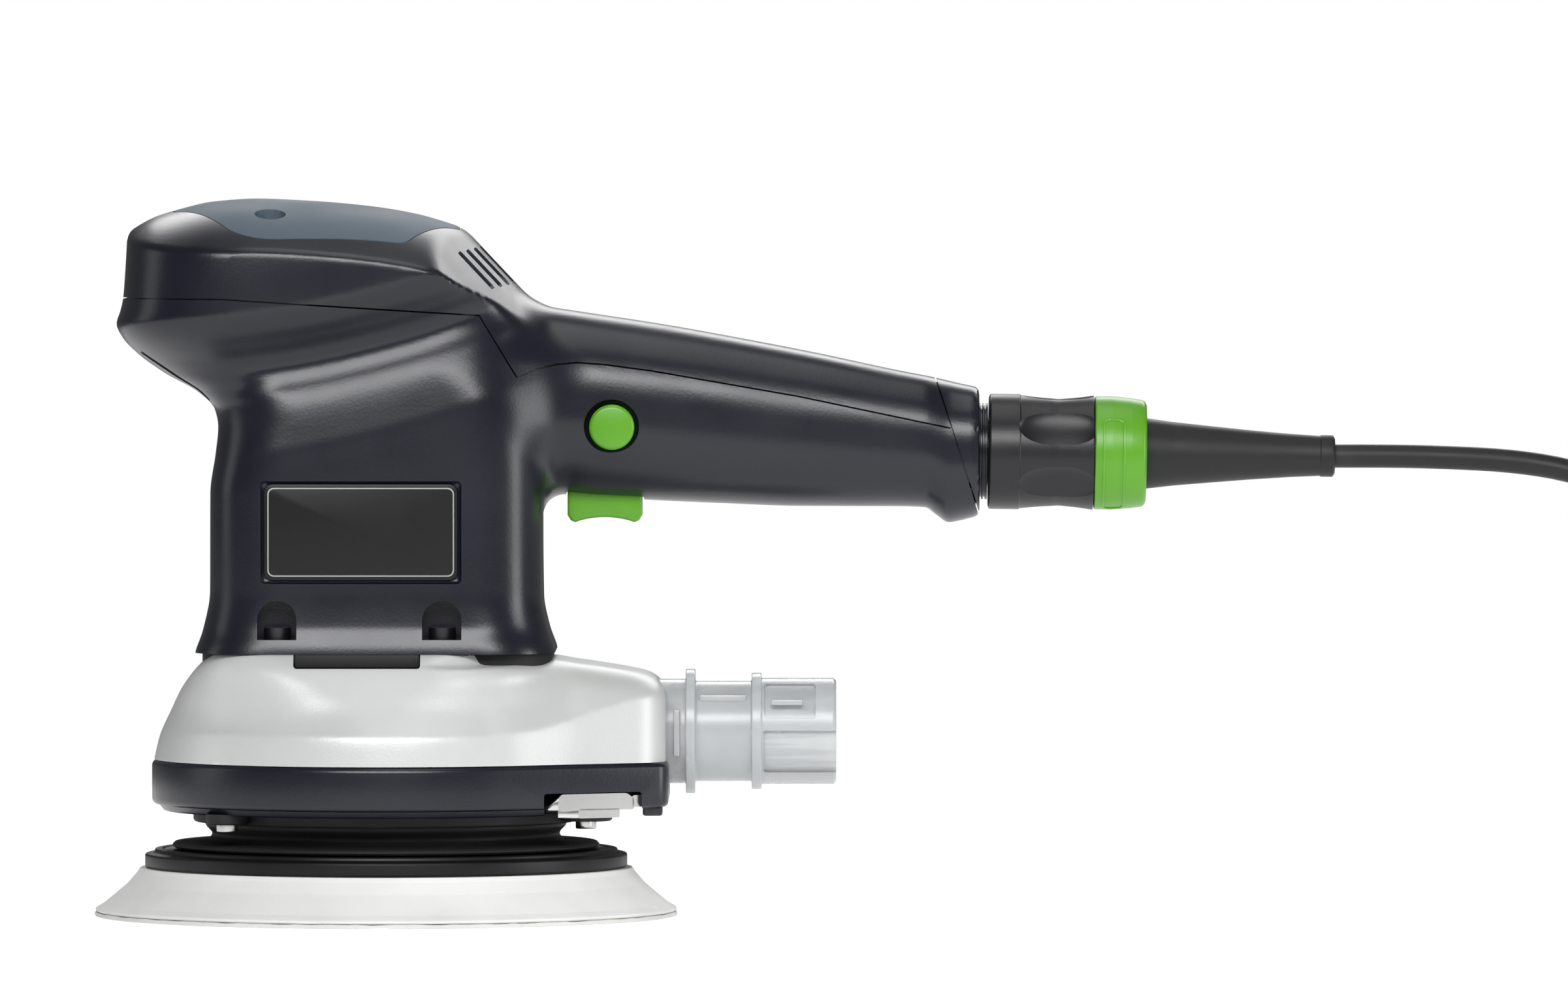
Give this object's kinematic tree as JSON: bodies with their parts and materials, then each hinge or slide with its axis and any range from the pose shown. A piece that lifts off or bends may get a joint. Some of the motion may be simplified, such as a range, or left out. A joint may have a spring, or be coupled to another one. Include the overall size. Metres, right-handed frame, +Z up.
{
  "type": "random orbit sander",
  "caption": "Corded random-orbit sander: round pad, upright motor, palm-grip head, rear handle, dust port and detachable coiled lead.",
  "frame": {"origin": "motor axis on the work surface, in the plane of the pad's hook face", "axes": "+X along the handle to the rear, +Z up along the motor axis, -Y towards the side with the lock button"},
  "size_m": [0.559, 0.1607, 0.1842],
  "materials": {
    "dark_shell": "fine-grained satin",
    "grip_insert": "soft matte",
    "plate_black": "satin",
    "dark_steel": "blackened",
    "silver_hood": "fine metallic satin",
    "black_rubber": "matte",
    "bright_steel": "bright",
    "clear_port": "translucent frosted",
    "core_steel": "laminated",
    "copper": "enamelled copper",
    "cast_aluminium": "die-cast",
    "inner_plastic": "moulded",
    "brass": "plain",
    "carbon": "pressed graphite",
    "board_green": "coated",
    "white_foam": "moulded foam",
    "hook_fabric": "short hooks",
    "signal_green": "satin",
    "sleeve_black": "satin",
    "cable_black": "satin rubber",
    "tie_fabric": "hook-and-loop strap"
  },
  "bodies": {
    "housing": {"motor_housing": "dark_shell", "upper_shell": "dark_shell", "top_grip_insert": "grip_insert", "name_plates": "plate_black", "cap_screws": "dark_steel", "housing_screws": "dark_steel", "dust_hood": "silver_hood", "hood_gasket": "black_rubber", "base_ring": "dark_shell", "clamp_plate": "bright_steel", "clamp_plate_screw": "bright_steel", "dust_port": "clear_port", "retaining_ring": "black_rubber", "retaining_screws": "bright_steel", "brake_cuff": "black_rubber", "stator_core": "core_steel", "stator_windings": "copper", "bearing_plate": "cast_aluminium", "lower_bearing": "bright_steel", "upper_bearing": "bright_steel", "bearing_bridge": "inner_plastic", "brush_holders": "brass", "carbon_brushes": "carbon", "brush_springs": "bright_steel", "switch_module": "inner_plastic", "control_board": "board_green", "inlet_socket": "dark_shell", "inlet_pins": "brass"},
    "rotor": {"motor_shaft": "bright_steel", "rotor_core": "core_steel", "rotor_windings": "copper", "commutator": "copper", "cooling_fan": "inner_plastic", "eccentric_hub": "cast_aluminium", "counterweight": "core_steel", "dust_fan": "cast_aluminium", "pad_bearings": "bright_steel"},
    "pad": {"pad_spindle": "bright_steel", "pad_plate": "plate_black", "pad_foam": "white_foam", "hook_face": "hook_fabric", "pad_washer": "bright_steel", "pad_screw": "dark_steel"},
    "trigger": {"trigger": "signal_green", "trigger_spring": "bright_steel"},
    "lock_button": {"lock_button": "signal_green", "lock_spring": "bright_steel"},
    "speed_dial": {"speed_dial": "signal_green"},
    "mains_lead": {"plug_core": "sleeve_black", "plug_contacts": "brass", "cable_boot": "cable_black", "cord_lead": "cable_black", "cord_coil": "cable_black", "cord_tail": "cable_black", "coil_tie": "tie_fabric", "plug_relief": "cable_black", "mains_plug": "cable_black", "plug_pins": "brass"},
    "lock_sleeve": {"locking_sleeve": "sleeve_black", "sleeve_ring": "signal_green"}
  },
  "joints": [
    {"name": "motor_spin", "type": "hinge", "parent": "housing", "child": "rotor", "pos_m": [0, 0, 0.1], "axis": [0, 0, 1], "continuous": true},
    {"name": "pad_spin", "type": "hinge", "parent": "rotor", "child": "pad", "pos_m": [0, 0.0025, 0.03], "axis": [0, 0, 1], "continuous": true},
    {"name": "trigger_press", "type": "slide", "parent": "housing", "child": "trigger", "axis": [0, 0, 1], "range_m": [0, 0.004], "stiffness_N_per_m": 600, "springref_m": -0.002, "deforming": ["trigger_spring"]},
    {"name": "lock_press", "type": "slide", "parent": "housing", "child": "lock_button", "axis": [0, 1, 0], "range_m": [0, 0.003], "stiffness_N_per_m": 500, "springref_m": -0.002, "deforming": ["lock_spring"]},
    {"name": "dial_turn", "type": "hinge", "parent": "housing", "child": "speed_dial", "pos_m": [0.1, 0.0125, 0.125], "axis": [0, 0, 1], "range_deg": [0, 270]},
    {"name": "lead_pull", "type": "slide", "parent": "housing", "child": "mains_lead", "axis": [0.9999, 0, -0.014], "range_m": [0, 0.035]},
    {"name": "sleeve_turn", "type": "hinge", "parent": "mains_lead", "child": "lock_sleeve", "pos_m": [0.1695, 0, 0.11909], "axis": [0.9999, 0, -0.014], "range_deg": [0, 75]}
  ]
}
